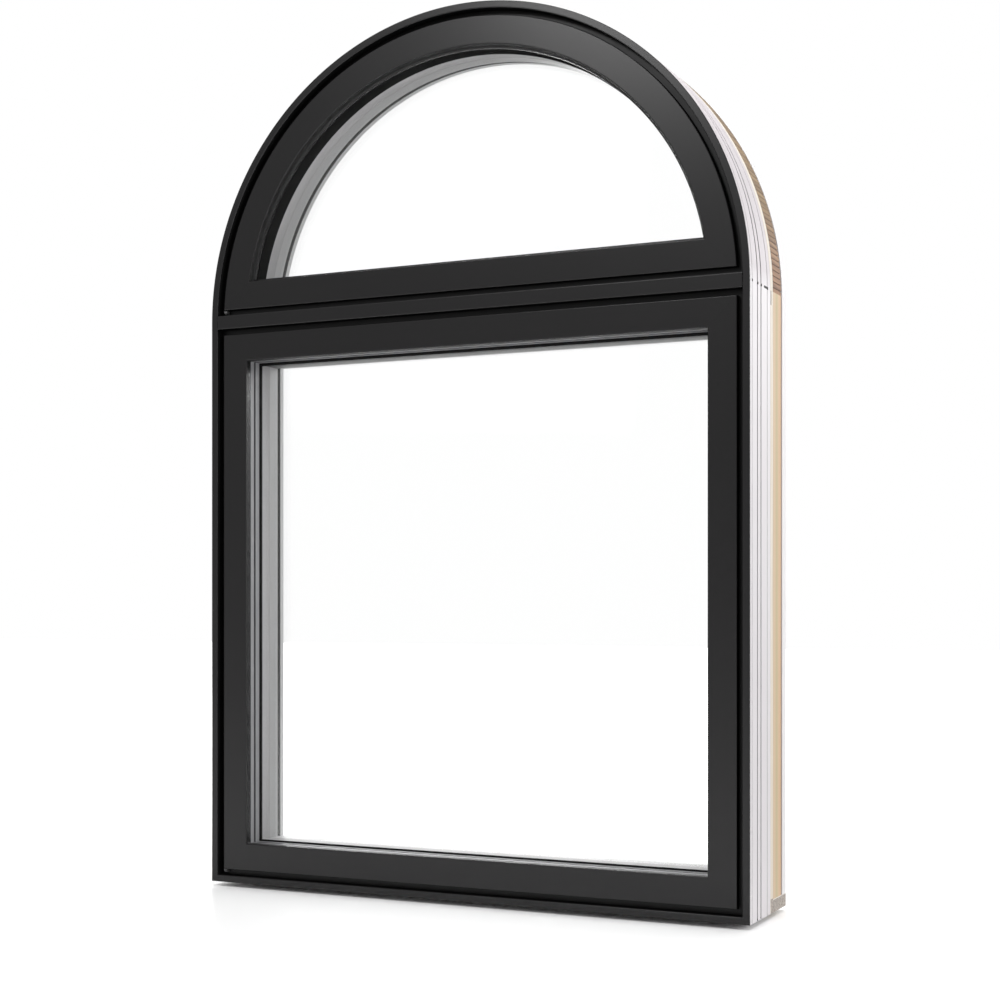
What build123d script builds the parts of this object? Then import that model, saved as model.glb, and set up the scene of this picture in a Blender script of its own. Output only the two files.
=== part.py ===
"""Arched picture window: a half-round unit stacked on a square fixed unit.

Both units share one frame section and one sash section, carried round a square below and a half round above.
X runs along the width, Y from the weather side to the room side, Z up from the underside of the sill.
A section is drawn in two measures: the inset from the outside edge, and the depth from the weather face.
"""
import os

from build123d import *

# Overall sizes, in millimetres
frame_width = 584.0
lower_height = 584.0
jamb_depth = 116.0

# Black cap on the weather side
face_width = 7.0
cap_thickness = 1.6
cap_leg = 1.5
cap_rounding = 0.8
pocket_depth = 12.0
cover_end_gap = 0.3

# White ribbed shell over the pine frame
shell_wall = 2.4
shell_depth = 65.0
frame_thickness = 12.0
rib_grooves = ((7.0, 8.4, 0.7), (22.6, 25.4, 1.8), (33.4, 36.4, 1.8), (54.0, 55.6, 0.7))
mull_relief = (44.0, 52.0, 0.7)

# Pine frame behind the shell
core_depth = 73.0
heel_thickness = 13.5

# Sash
sash_gap = 6.0
sash_face = 28.0
sash_setback = 2.8
sash_depth = 60.0
arris_chamfer = 0.8
clad_return = 8.8
rebate_width = 11.0

# Glazing
glazing_face = 31.0
glass_bite = 9.0
pane_thickness = 3.0
air_space = 9.0
gasket_thickness = 3.4
gasket_lip = 1.5
spacer_sight = 0.6
bead_groove_start = 17.2
bead_groove_width = 3.0
bead_groove_depth = 1.2
liner_step = 1.3
liner_chamfer = 2.0
strip_thickness = 2.0

# Room-side stop
stop_depth = 68.0
stop_thickness = 7.4
stop_chamfer = 1.2

# Extension jambs
board_thickness = 12.5
edge_strip_depth = 12.5
board_rebate_width = 3.5
board_rebate_depth = 3.0

# Worked out from the sizes above
front_y = -jamb_depth / 2
half_width = frame_width / 2
sash_inset = face_width + sash_gap
sight_inset = sash_inset + sash_face
glass_inset = sight_inset - glass_bite
rebate_inset = sight_inset - rebate_width
clad_end = sash_setback + clad_return
gasket_start = glazing_face - gasket_thickness
gasket_inset = sight_inset + gasket_lip
inner_pane = glazing_face + pane_thickness + air_space
glazing_back = inner_pane + pane_thickness
sash_back = sash_setback + sash_depth
liner_inset = sight_inset + liner_step
strip_start = jamb_depth - edge_strip_depth
mitre_reach = liner_inset + board_thickness

os.makedirs("parts", exist_ok=True)


def shell_profile(extra_grooves=()):
    """Ribbed outer wall with a front return that carries the weatherstrip."""
    points = [(shell_wall, shell_depth), (shell_wall, pocket_depth + shell_wall)]
    points += [(frame_thickness, pocket_depth + shell_wall), (frame_thickness, pocket_depth)]
    points += [(face_width - cap_leg, pocket_depth), (face_width - cap_leg, cap_thickness)]
    points += [(0, cap_thickness)]
    for start, end, depth in sorted(rib_grooves + extra_grooves):
        points += [(0, start), (depth, start), (depth, end), (0, end)]
    return points + [(0, shell_depth)]


cap_section = [
    (0, 0),
    (face_width, 0),
    (face_width, pocket_depth),
    (face_width - cap_leg, pocket_depth),
    (face_width - cap_leg, cap_thickness),
    (0, cap_thickness),
]
core_section = [
    (shell_wall, pocket_depth + shell_wall),
    (frame_thickness, pocket_depth + shell_wall),
    (frame_thickness, shell_depth),
    (heel_thickness, shell_depth),
    (heel_thickness, core_depth),
    (0, core_depth),
    (0, shell_depth),
    (shell_wall, shell_depth),
]
core_cope = [
    (0, cap_thickness),
    (frame_thickness, cap_thickness),
    (frame_thickness, shell_depth),
    (heel_thickness, shell_depth),
    (heel_thickness, core_depth),
    (0, core_depth),
]
shell_foot_section = [
    (0, cap_thickness),
    (shell_wall, cap_thickness),
    (shell_wall, shell_depth),
    (0, shell_depth),
]
cap_cope = [
    (0, cap_thickness),
    (face_width - cap_leg, cap_thickness),
    (face_width - cap_leg, pocket_depth),
    (0, pocket_depth),
]
lower_clad_section = [
    (sash_inset, sash_setback + arris_chamfer),
    (sash_inset + arris_chamfer, sash_setback),
    (sight_inset - arris_chamfer, sash_setback),
    (sight_inset, sash_setback + arris_chamfer),
    (sight_inset, clad_end),
    (rebate_inset, clad_end),
    (rebate_inset, glazing_face),
    (sash_inset, glazing_face),
]
arch_clad_section = [
    (sash_inset, sash_setback + arris_chamfer),
    (sash_inset + arris_chamfer, sash_setback),
    (sight_inset - arris_chamfer, sash_setback),
    (sight_inset, sash_setback + arris_chamfer),
    (sight_inset, gasket_start),
    (rebate_inset, gasket_start),
    (rebate_inset, glazing_face),
    (sash_inset, glazing_face),
]
bead_section = [
    (rebate_inset, clad_end),
    (sight_inset, clad_end),
    (sight_inset, bead_groove_start),
    (sight_inset - bead_groove_depth, bead_groove_start),
    (sight_inset - bead_groove_depth, bead_groove_start + bead_groove_width),
    (sight_inset, bead_groove_start + bead_groove_width),
    (sight_inset, gasket_start),
    (rebate_inset, gasket_start),
]
liner_section = [
    (sash_inset, glazing_face),
    (rebate_inset, glazing_face),
    (rebate_inset, glazing_back),
    (liner_inset, glazing_back),
    (liner_inset, sash_back - liner_chamfer),
    (liner_inset - liner_chamfer, sash_back),
    (sash_inset, sash_back),
]
stop_section = [
    (heel_thickness, stop_depth),
    (sight_inset, stop_depth),
    (sight_inset, stop_depth + stop_thickness - stop_chamfer),
    (sight_inset - stop_chamfer, stop_depth + stop_thickness),
    (heel_thickness, stop_depth + stop_thickness),
]
board_section = [
    (0, core_depth),
    (board_thickness, core_depth),
    (board_thickness, strip_start),
    (board_rebate_depth, strip_start),
    (board_rebate_depth, strip_start - board_rebate_width),
    (0, strip_start - board_rebate_width),
]
strip_section = [
    (0, strip_start),
    (board_thickness, strip_start),
    (board_thickness, jamb_depth),
    (0, jamb_depth),
]
rail_board_section = [
    (0, core_depth),
    (board_thickness, core_depth),
    (board_thickness, jamb_depth),
    (0, jamb_depth),
]

# A section plane stands at one end of its member, with the inset to its right and the depth upwards
left_plane = Plane(origin=(-half_width, front_y, 0), x_dir=(1, 0, 0), z_dir=(0, 0, 1))
sill_plane = Plane(origin=(half_width, front_y, 0), x_dir=(0, 0, 1), z_dir=(-1, 0, 0))
head_plane = Plane(origin=(-half_width, front_y, lower_height), x_dir=(0, 0, -1), z_dir=(1, 0, 0))
arch_sill_plane = Plane(origin=(half_width, front_y, lower_height), x_dir=(0, 0, 1), z_dir=(-1, 0, 0))
spring_plane = Plane(origin=(half_width, front_y, lower_height), x_dir=(-1, 0, 0), z_dir=(0, 0, -1))
arch_axis = Axis((0, 0, lower_height), (0, -1, 0))


def elevation(rear):
    """Plane of a front view at a depth, seen from the weather side."""
    return Plane(origin=(0, front_y + rear, 0), x_dir=(1, 0, 0), z_dir=(0, -1, 0))


# Mitred members meet on 45 degree lines through the corners of the square
left_field = [
    (-half_width, 0),
    (-half_width + mitre_reach, mitre_reach),
    (-half_width + mitre_reach, lower_height - mitre_reach),
    (-half_width, lower_height),
]
sill_field = [
    (-half_width, 0),
    (half_width, 0),
    (half_width - mitre_reach, mitre_reach),
    (-half_width + mitre_reach, mitre_reach),
]
head_field = [
    (-half_width, lower_height),
    (half_width, lower_height),
    (half_width - mitre_reach, lower_height - mitre_reach),
    (-half_width + mitre_reach, lower_height - mitre_reach),
]
open_left_field = [
    (-half_width, 0),
    (-half_width + mitre_reach, mitre_reach),
    (-half_width + mitre_reach, lower_height),
    (-half_width, lower_height),
]


def straight_member(section, plane, length, field=None, rounding=0.0):
    """Section extruded along its member, cut to its mitres."""
    with BuildPart() as member:
        with BuildSketch(plane) as face:
            Polygon(*section, align=None)
            if rounding:
                fillet(face.vertices().group_by(Axis.Y)[0], rounding)
        extrude(amount=length)
        if field:
            with BuildSketch(elevation(jamb_depth)):
                Polygon(*field, align=None)
            extrude(amount=jamb_depth, mode=Mode.INTERSECT)
    return member.part


def spring_cut(section):
    """Saw cut that joins the outer and the inner corner where the half round meets its straight foot."""
    insets = [inset for inset, depth in section]
    outer = min(insets)
    inner = max(insets)
    outer_x = (half_width**2 - 2 * half_width * outer) ** 0.5
    inner_x = (half_width**2 - 2 * half_width * inner) ** 0.5
    slope = (outer_x - inner_x) / (inner - outer)
    foot_x = outer_x + slope * outer
    top_x = inner_x - slope * board_thickness
    top_z = lower_height + inner + board_thickness
    Polygon((-foot_x, lower_height), (foot_x, lower_height), (top_x, top_z), (-top_x, top_z), align=None)


def arch_member(section, mitred=True, rounding=0.0):
    """Section turned through the half round, cut to its mitres at the springing."""
    with BuildPart() as member:
        with BuildSketch(spring_plane) as face:
            Polygon(*section, align=None)
            if rounding:
                fillet(face.vertices().group_by(Axis.Y)[0], rounding)
        revolve(axis=arch_axis, revolution_arc=180)
        if mitred:
            with BuildSketch(elevation(jamb_depth)):
                spring_cut(section)
            extrude(amount=jamb_depth, mode=Mode.SUBTRACT)
    return member.part


def arch_sill_member(section, mitred=True):
    """Straight foot of the half round, mitred to it or standing between its feet."""
    with BuildPart() as member:
        with BuildSketch(arch_sill_plane):
            Polygon(*section, align=None)
        extrude(amount=frame_width)
        with BuildSketch(elevation(jamb_depth)):
            if mitred:
                spring_cut(section)
            else:
                half_round(0)
        extrude(amount=jamb_depth, mode=Mode.INTERSECT)
    return member.part


def half_round(inset):
    """Half round set in by an inset, flat at its foot."""
    radius = half_width - inset
    reach = (radius**2 - inset**2) ** 0.5
    with BuildLine() as edge:
        ThreePointArc(
            (-reach, lower_height + inset),
            (0, lower_height + radius),
            (reach, lower_height + inset),
        )
        Line((reach, lower_height + inset), (-reach, lower_height + inset))
    make_face(edge.edges())


def square(inset):
    """Outline of the lower unit set in by an inset."""
    with Locations((0, lower_height / 2)):
        Rectangle(frame_width - 2 * inset, lower_height - 2 * inset)


def layer(shape, inset, start, end, inner_inset=None):
    """Flat sheet or ring in the plane of the window, between two depths."""
    with BuildPart() as sheet:
        with BuildSketch(elevation(end)):
            shape(inset)
        extrude(amount=end - start)
        if inner_inset:
            with BuildSketch(elevation(end)):
                shape(inner_inset)
            extrude(amount=end - start, mode=Mode.SUBTRACT)
    return sheet.part


def save(name, part):
    """Label a finished piece and write it."""
    part.label = name
    export_step(part, f"parts/{name}.step")


def both_sides(name, left):
    """Write a left member with its mirror image on the right."""
    with BuildPart() as pair:
        add(left)
        mirror(about=Plane.YZ)
    save(name, pair.part)
    return pair.part


def both_rails(name, bottom, top):
    """Write a bottom and a top member as one piece."""
    with BuildPart() as pair:
        add(bottom)
        add(top)
    save(name, pair.part)
    return pair.part


# White ribbed shell, mitred at its corners
shell_section = shell_profile()
both_sides("frame_shell_jambs", straight_member(shell_section, left_plane, lower_height, left_field))
save("frame_shell_sill", straight_member(shell_section, sill_plane, frame_width, sill_field))
save("frame_shell_head", straight_member(shell_section, head_plane, frame_width, head_field))
save("arch_shell", arch_member(shell_section))
save("arch_shell_sill", arch_sill_member(shell_profile((mull_relief,))))

# Black cap round the weather face, open at the joint of the two units, where the mull cover closes it
with BuildPart() as cap_jamb:
    add(straight_member(cap_section, left_plane, lower_height, open_left_field, cap_rounding))
    add(straight_member(cap_cope, head_plane, frame_width), mode=Mode.SUBTRACT)
both_sides("frame_cap_jambs", cap_jamb.part)
save("frame_cap_sill", straight_member(cap_section, sill_plane, frame_width, sill_field, cap_rounding))
with BuildPart() as arch_cap:
    add(arch_member(cap_section, mitred=False, rounding=cap_rounding))
    add(straight_member(cap_cope, arch_sill_plane, frame_width), mode=Mode.SUBTRACT)
save("arch_cap", arch_cap.part)

# Pine frame: sill and head run through between the shells, and the jambs are coped between them
with BuildPart() as core_jamb:
    add(straight_member(core_section, left_plane, lower_height))
    add(straight_member(core_cope, sill_plane, frame_width), mode=Mode.SUBTRACT)
    add(straight_member(core_cope, head_plane, frame_width), mode=Mode.SUBTRACT)
both_sides("frame_core_jambs", core_jamb.part)


def through_core(name, plane):
    """Pine rail that runs the full width behind the shell, and between the jamb shells in front."""
    with BuildPart() as rail:
        add(straight_member(core_section, plane, frame_width))
        with BuildSketch(elevation(shell_depth)):
            square(0)
            with Locations((0, lower_height / 2)):
                Rectangle(frame_width - 2 * shell_wall, lower_height, mode=Mode.SUBTRACT)
        extrude(amount=shell_depth, mode=Mode.SUBTRACT)
    save(name, rail.part)


through_core("frame_core_sill", sill_plane)
through_core("frame_core_head", head_plane)
with BuildPart() as arch_core:
    add(arch_member(core_section, mitred=False))
    add(straight_member(shell_foot_section, arch_sill_plane, frame_width), mode=Mode.SUBTRACT)
save("arch_core", arch_core.part)
with BuildPart() as arch_core_sill:
    add(arch_sill_member(core_section, mitred=False))
    add(arch_member(core_cope, mitred=False), mode=Mode.SUBTRACT)
save("arch_core_sill", arch_core_sill.part)

# Black sash
both_sides(
    "sash_stiles",
    straight_member(lower_clad_section, left_plane, lower_height, left_field),
)
both_rails(
    "sash_rails",
    straight_member(lower_clad_section, sill_plane, frame_width, sill_field),
    straight_member(lower_clad_section, head_plane, frame_width, head_field),
)
save("arch_sash", arch_member(arch_clad_section))
save("arch_sash_rail", arch_sill_member(arch_clad_section))

# White sash liner on the room side
both_sides(
    "sash_liner_stiles",
    straight_member(liner_section, left_plane, lower_height, left_field),
)
both_rails(
    "sash_liner_rails",
    straight_member(liner_section, sill_plane, frame_width, sill_field),
    straight_member(liner_section, head_plane, frame_width, head_field),
)
save("arch_sash_liner", arch_member(liner_section))
save("arch_sash_liner_rail", arch_sill_member(liner_section))

# Grey glazing beads of the lower unit
both_sides(
    "glazing_bead_stiles",
    straight_member(bead_section, left_plane, lower_height, left_field),
)
both_rails(
    "glazing_bead_rails",
    straight_member(bead_section, sill_plane, frame_width, sill_field),
    straight_member(bead_section, head_plane, frame_width, head_field),
)

# Panes, edge spacer, glazing gasket and weatherstrip, the same in both units
for unit, shape in (("lower", square), ("arch", half_round)):
    save(f"{unit}_glass_outer", layer(shape, glass_inset, glazing_face, glazing_face + pane_thickness))
    save(
        f"{unit}_glass_spacer",
        layer(shape, glass_inset, glazing_face + pane_thickness, inner_pane, sight_inset + spacer_sight),
    )
    save(f"{unit}_glass_inner", layer(shape, glass_inset, inner_pane, glazing_back))
    save(f"{unit}_glazing_gasket", layer(shape, rebate_inset, gasket_start, glazing_face, gasket_inset))
    save(
        f"{unit}_weatherstrip",
        layer(shape, face_width, pocket_depth - strip_thickness, pocket_depth, sash_inset),
    )

# White stop on the room side
both_sides("room_stop_stiles", straight_member(stop_section, left_plane, lower_height, left_field))
both_rails(
    "room_stop_rails",
    straight_member(stop_section, sill_plane, frame_width, sill_field),
    straight_member(stop_section, head_plane, frame_width, head_field),
)
save("arch_room_stop", arch_member(stop_section))
save("arch_room_stop_rail", arch_sill_member(stop_section))

# Extension jambs: the jambs stand on the sill board and rise to the joint, the head board fits between them
with BuildPart() as sill_board:
    add(straight_member(rail_board_section, sill_plane, frame_width))
save("extension_sill", sill_board.part)
with BuildPart() as jamb_board:
    add(straight_member(board_section, left_plane, lower_height))
    add(sill_board.part, mode=Mode.SUBTRACT)
both_sides("extension_jambs", jamb_board.part)
with BuildPart() as jamb_strip:
    add(straight_member(strip_section, left_plane, lower_height))
    add(sill_board.part, mode=Mode.SUBTRACT)
both_sides("edge_strip_jambs", jamb_strip.part)
with BuildPart() as head_board:
    with Locations((0, front_y + (core_depth + jamb_depth) / 2, lower_height - board_thickness / 2)):
        Box(frame_width - 2 * board_thickness, jamb_depth - core_depth, board_thickness)
save("extension_head", head_board.part)
save("arch_extension", arch_member(board_section, mitred=False))
save("arch_edge_strip", arch_member(strip_section, mitred=False))
with BuildPart() as arch_sill_board:
    add(arch_sill_member(rail_board_section, mitred=False))
    add(arch_member(rail_board_section, mitred=False), mode=Mode.SUBTRACT)
save("arch_extension_sill", arch_sill_board.part)

# Mull cover: a channel clipped over the joint of the two units
with BuildPart() as mull_cover:
    cover_half = half_width - face_width - cover_end_gap
    cover_plane = Plane(origin=(cover_half, front_y, lower_height), x_dir=(0, 0, 1), z_dir=(-1, 0, 0))
    with BuildSketch(cover_plane) as cover_face:
        Polygon(
            (-face_width, 0),
            (face_width, 0),
            (face_width, pocket_depth),
            (face_width - cap_leg, pocket_depth),
            (face_width - cap_leg, cap_thickness),
            (-face_width + cap_leg, cap_thickness),
            (-face_width + cap_leg, pocket_depth),
            (-face_width, pocket_depth),
            align=None,
        )
        fillet(cover_face.vertices().group_by(Axis.Y)[0], cap_rounding)
    extrude(amount=2 * cover_half)
save("mull_cover", mull_cover.part)
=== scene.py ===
"""Arched picture window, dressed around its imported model.

A half-round fixed light is stacked on a square fixed light. Both have a black clad weather side, white ribbed
vinyl over pine at the sides, and wooden extension jambs on the room side.
"""
import math

import bpy
import numpy as np
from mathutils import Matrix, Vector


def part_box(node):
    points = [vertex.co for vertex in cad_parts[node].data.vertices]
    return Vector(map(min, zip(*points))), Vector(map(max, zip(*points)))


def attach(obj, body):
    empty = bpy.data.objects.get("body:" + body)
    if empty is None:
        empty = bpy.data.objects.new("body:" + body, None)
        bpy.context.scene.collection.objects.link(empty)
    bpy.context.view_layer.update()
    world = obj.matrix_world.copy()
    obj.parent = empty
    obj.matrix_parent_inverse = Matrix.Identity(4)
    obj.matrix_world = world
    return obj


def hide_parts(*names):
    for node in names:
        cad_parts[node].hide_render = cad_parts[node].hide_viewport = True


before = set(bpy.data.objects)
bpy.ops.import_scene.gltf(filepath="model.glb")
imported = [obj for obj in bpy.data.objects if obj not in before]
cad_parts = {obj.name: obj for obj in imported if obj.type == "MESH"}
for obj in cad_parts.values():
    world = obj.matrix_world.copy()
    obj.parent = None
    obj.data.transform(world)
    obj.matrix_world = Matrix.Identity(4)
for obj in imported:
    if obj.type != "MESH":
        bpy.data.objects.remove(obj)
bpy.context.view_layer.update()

mm = 0.001

# ----------------------------------------------------------------------------------------------------------
# Camera. It stands in front of the right half at a third of the height and looks level, with the upright
# lines kept upright by a raised picture area, as the photograph has them.
camera_lens = bpy.data.cameras.new("weather_side_camera")
camera_lens.sensor_width = 36.0
camera_lens.lens = 62.11
camera_lens.shift_y = 0.1017
camera_lens.clip_end = 60.0
camera = bpy.data.objects.new("weather_side_camera", camera_lens)
camera.location = (0.7573, -1.5605, 0.2925)
camera.rotation_euler = (math.radians(90.0), 0.0, math.radians(25.444))
bpy.context.scene.collection.objects.link(camera)
bpy.context.scene.camera = camera
bpy.context.scene.view_settings.view_transform = "Standard"


# ----------------------------------------------------------------------------------------------------------
# Studio floor and backdrop. A white sweep with a trace of gloss, which keeps the shadow and a faint mirror
# image. It lies a few millimetres below the sill, so that the shadow starts a little lower than the window.
class Wire:
    """An output socket of a material. Arithmetic on it adds Math nodes, node() adds any other node."""

    def __init__(self, tree, socket=None):
        self.tree = tree
        self.socket = socket

    def node(self, kind, settings, inputs, output=0):
        """Adds a node: first its settings, then the values or links of its sockets."""
        made = self.tree.nodes.new("ShaderNode" + kind)
        for key, value in settings.items():
            if key == "stops":
                ends = made.color_ramp.elements
                ends[0].position, ends[0].color = value[0][0], (*value[0][1], 1.0)
                ends[1].position, ends[1].color = value[-1][0], (*value[-1][1], 1.0)
                for place, colour in value[1:-1]:
                    ends.new(place).color = (*colour, 1.0)
            else:
                setattr(made, key, value)
        for key, value in inputs.items():
            if isinstance(value, Wire):
                self.tree.links.new(value.socket, made.inputs[key])
            else:
                made.inputs[key].default_value = value
        return Wire(self.tree, made.outputs[output])

    def maths(self, operation, *values):
        return self.node("Math", {"operation": operation}, dict(enumerate(values)))

    def __add__(self, other):
        return self.maths("ADD", self, other)

    def __sub__(self, other):
        return self.maths("SUBTRACT", self, other)

    def __mul__(self, other):
        return self.maths("MULTIPLY", self, other)

    def __truediv__(self, other):
        return self.maths("DIVIDE", self, other)

    def __pow__(self, other):
        return self.maths("POWER", self, other)

    def __gt__(self, other):
        return self.maths("GREATER_THAN", self, other)

    def __lt__(self, other):
        return self.maths("LESS_THAN", self, other)

    def __rsub__(self, other):
        return self.maths("SUBTRACT", other, self)

    __radd__ = __add__
    __rmul__ = __mul__

    def clamp(self):
        return self.node("Clamp", {}, {"Value": self})

    def absolute(self):
        return self.maths("ABSOLUTE", self)

    def axis(self, letter):
        """One coordinate of a place."""
        return self.node("SeparateXYZ", {}, {0: self}, letter)

    def on_object(self):
        """Place on the object, in its own coordinates."""
        return self.node("TexCoord", {}, {}, "Object")

    def noise(self, scale, detail):
        """Noise over the object's own coordinates."""
        return self.node("TexNoise", {}, {"Vector": self.on_object(), "Scale": scale, "Detail": detail})

    def mix(self, start, end):
        """Colour that goes from start to end as this value goes from 0 to 1."""
        sides = {6: start, 7: end}
        return self.node("Mix", {"data_type": "RGBA"}, {0: self, **sides}, 2)


def colour(red, green, blue):
    """Linear colour of a display colour given in 0 to 255, with an alpha of 1."""
    display = np.array([red, green, blue]) / 255.0
    linear = np.where(display <= 0.04045, display / 12.92, ((display + 0.055) / 1.055) ** 2.4)
    return (*[float(part) for part in linear], 1.0)


def finish(name, **surface):
    """New material with these values on its shader's sockets, and an empty wire to build its pattern on."""
    material = bpy.data.materials.new(name)
    material.use_nodes = True
    shader = material.node_tree.nodes["Principled BSDF"]
    for socket, value in surface.items():
        shader.inputs[socket.replace("_", " ")].default_value = value
    return material, Wire(material.node_tree)


def feed(material, **wires):
    """Links patterns to the surface shader's sockets."""
    shader = material.node_tree.nodes["Principled BSDF"]
    for socket, pattern in wires.items():
        material.node_tree.links.new(pattern.socket, shader.inputs[socket.replace("_", " ")])


floor_level = -4.5 * mm
floor_reach = 9.0
floor_mesh = bpy.data.meshes.new("studio_floor")
floor_mesh.from_pydata(
    [(x * floor_reach, y * floor_reach, floor_level) for x, y in ((-1, -1), (1, -1), (1, 1), (-1, 1))],
    [],
    [(0, 1, 2, 3)],
)
studio_floor = bpy.data.objects.new("studio_floor", floor_mesh)
bpy.context.scene.collection.objects.link(studio_floor)
floor_paint, wire = finish("floor_paint", Roughness=0.2, Specular_IOR_Level=0.02, Emission_Strength=1.0)
floor_mesh.materials.append(floor_paint)
path = wire.node("LightPath", {}, {}, "Is Camera Ray")
glossy = wire.node("LightPath", {}, {}, "Is Glossy Ray")
through = wire.node("LightPath", {}, {}, "Is Transmission Ray")
place = wire.on_object()
from_window = place.node("VectorMath", {"operation": "LENGTH"}, {0: place}, "Value")
fade = place.node("MapRange", {"interpolation_type": "SMOOTHSTEP"},
                  {"Value": from_window, "From Min": 0.3, "From Max": 1.3, "To Min": 0.0, "To Max": 1.0})
behind = place.node("MapRange", {"interpolation_type": "SMOOTHSTEP"}, {
    "Value": place.axis("Y"),
    "From Min": -0.4, "From Max": 0.5, "To Min": 0.0, "To Max": 1.0})
# Painted light: in the window's reflections the floor is brighter than white in front of it and dim behind it.
floor_reflection_light = behind.mix((2.8, 2.8, 2.8, 1), (0.5, 0.5, 0.5, 1))
plain = path.mix((0.4, 0.4, 0.4, 1), (1.24, 1.24, 1.24, 1))
lit = path.maths("MAXIMUM", path, through) * fade
feed(floor_paint, Base_Color=glossy.mix(plain, floor_reflection_light), Emission_Color=lit.mix((0, 0, 0, 1), (1, 1, 1, 1)))

world = bpy.data.worlds.new("studio_air")
bpy.context.scene.world = world
world.use_nodes = True
sky = Wire(world.node_tree)
background = world.node_tree.nodes["Background"]
camera_ray = sky.node("LightPath", {}, {}, "Is Camera Ray")
glossy_ray = sky.node("LightPath", {}, {}, "Is Glossy Ray")
through_ray = sky.node("LightPath", {}, {}, "Is Transmission Ray")
seen_ray = sky.maths("MAXIMUM", sky.maths("MAXIMUM", camera_ray, glossy_ray), through_ray)
soft_air = (0.42, 0.42, 0.42, 1.0)
world.node_tree.links.new(seen_ray.mix(soft_air, (1, 1, 1, 1)).socket, background.inputs["Color"])

# Lamps: a wide panel overhead, a wide panel on the right for the ribbed side, one behind on the left for the room
# side, a small soft box high on the left that leaves a sheen on the upper right of the arch, and a small panel
# behind on the right that catches the reveals.
# A lamp is named with its place, its aim, its side, its radiance and whether it lights more than the gloss. The
# power follows from the radiance times pi times the area.
for name, place_at, aim, side, radiance, lights_all in (
    ("overhead_panel", (0.0, 0.2, 3.4), (0.0, 0.0, 0.0), 3.2, 2.3, True),
    ("right_panel", (3.2, -0.35, 1.3), (0.0, 0.0, 0.45), 1.6, 6.3, True),
    ("room_side_panel", (-1.8, 3.0, 1.6), (0.0, 0.0, 0.45), 1.6, 4.0, True),
    ("sheen_box", (-0.80, -2.65, 2.08), (0.1, 0.0, 0.8), 0.55, 36.0, False),
    ("reveal_panel", (1.66, 2.7, 1.22), (-0.2, 0.0, 0.5), 0.5, 20.0, False),
):
    lamp = bpy.data.lights.new(name, "AREA")
    lamp.shape = "SQUARE"
    lamp.size = side
    lamp.energy = radiance * math.pi * side * side
    stand = bpy.data.objects.new(name, lamp)
    stand.location = place_at
    away = np.array(place_at) - np.array(aim)
    stand.rotation_euler = (
        math.acos(away[2] / float(np.linalg.norm(away))),
        0.0,
        math.atan2(away[1], away[0]) + math.pi / 2,
    )
    stand.visible_camera = False
    stand.visible_diffuse = lights_all
    bpy.context.scene.collection.objects.link(stand)

# ----------------------------------------------------------------------------------------------------------
# Pine frame. Planed pale pine stands behind the ribbed shell, and its edge shows as a cream strip on the
# sides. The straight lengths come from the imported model, and the arch is bent from a finely turned section.
half_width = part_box("frame_shell_sill")[1].x
spring_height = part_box("arch_shell_sill")[0].z
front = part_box("frame_cap_sill")[0].y
hairline = 0.02 * mm


def rounded(corners):
    """Closed outline with eased corners, as points and outward normals in inset and depth.

    Each corner (inset, depth, radius), in millimetres, becomes an arc tangent to both its sides. The arc starts
    radius times the tangent of half the turn before the corner, and its normal turns evenly through the turn.
    """
    tips = np.array([corner[:2] for corner in corners], float) * mm
    edges = np.roll(tips, -1, axis=0) - tips
    lengths = np.linalg.norm(edges, axis=1)
    edges /= lengths[:, None]
    area = np.sum(tips[:, 0] * np.roll(tips[:, 1], -1) - tips[:, 1] * np.roll(tips[:, 0], -1))
    handed = 1.0 if area > 0 else -1.0
    points, normals = [], []
    for corner, (tip, (_, _, radius)) in enumerate(zip(tips, corners)):
        before, after = edges[corner - 1], edges[corner]
        turn = math.atan2(before[0] * after[1] - before[1] * after[0], before @ after)
        outward = handed * np.array([before[1], -before[0]])
        if abs(turn) < 1e-6:
            points.append(tip[None])
            normals.append(outward[None])
            continue
        bulge = 1.0 if turn * handed > 0 else -1.0
        reach = radius * mm * math.tan(abs(turn) / 2)
        reach = min(reach, 0.45 * lengths[corner - 1], 0.45 * lengths[corner])
        bend = reach / math.tan(abs(turn) / 2)
        steps = np.linspace(0.0, turn, 5 if radius >= 0.5 else 3)[:, None]
        turned_normals = np.cos(steps) * outward + np.sin(steps) * handed * before
        centre = tip - before * reach - bulge * bend * outward
        points.append(centre + bulge * bend * turned_normals)
        normals.append(turned_normals)
    return np.concatenate(points), np.concatenate(normals)


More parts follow.
